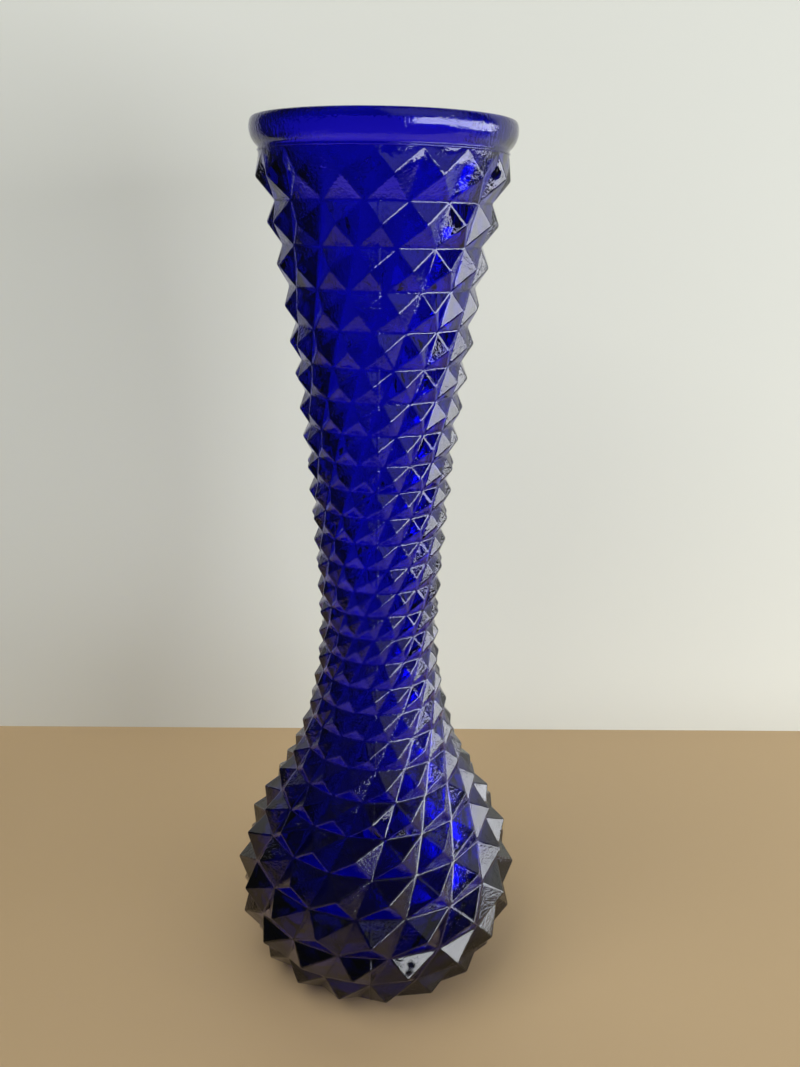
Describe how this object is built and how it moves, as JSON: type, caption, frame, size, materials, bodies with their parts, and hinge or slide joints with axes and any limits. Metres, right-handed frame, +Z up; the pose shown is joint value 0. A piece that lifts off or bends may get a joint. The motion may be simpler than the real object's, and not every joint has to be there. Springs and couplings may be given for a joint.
{
  "type": "hyacinth forcing vase",
  "caption": "Tall one-piece glass vase for forcing a flower bulb: flared round mouth, narrow waist and round lower bulb, covered in leaning rows of four-sided points.",
  "frame": {"origin": "centre of the foot ring, on the plane that the vase stands on", "axes": "+Z up along the vase's axis, -Y towards the side that faces the picture's camera, +X to the right in the picture"},
  "size_m": [0.0847, 0.0845, 0.24],
  "materials": {
    "cobalt_glass": "clear cobalt blue, glossy"
  },
  "bodies": {
    "root": {"glass_vase": "cobalt_glass"}
  },
  "joints": []
}
